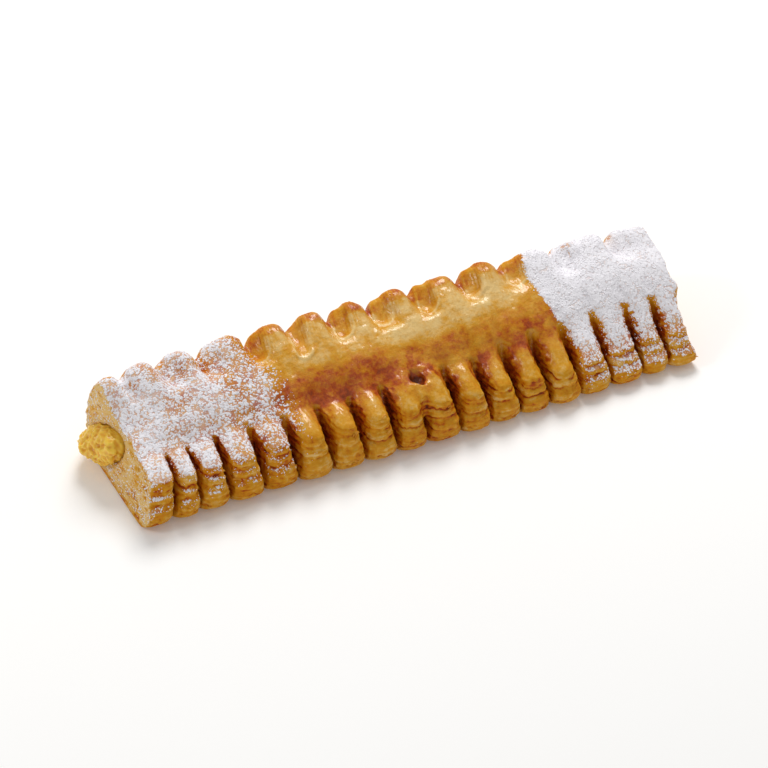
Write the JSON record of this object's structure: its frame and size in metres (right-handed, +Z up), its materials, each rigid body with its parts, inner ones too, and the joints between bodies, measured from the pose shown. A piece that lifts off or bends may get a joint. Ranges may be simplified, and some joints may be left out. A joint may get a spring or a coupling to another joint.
{
  "type": "cream-filled puff pastry bar",
  "caption": "Straight folded puff pastry bar with a toothed sealed edge, lobed fold, custard at its cut ends, sugared ends and a glazed middle.",
  "frame": {"origin": "on the floor, under the middle of the whole bar's box", "axes": "+X along the bar from the end where the custard bulges out, +Y from the toothed edge to the fold, +Z up"},
  "size_m": [0.2504, 0.0634, 0.0411],
  "materials": {
    "crust": "baked, flaky, partly glazed",
    "custard": "moist, lumpy",
    "icing_sugar": "fine dry powder"
  },
  "bodies": {
    "root": {"pastry": "crust", "custard": "custard"}
  },
  "joints": []
}
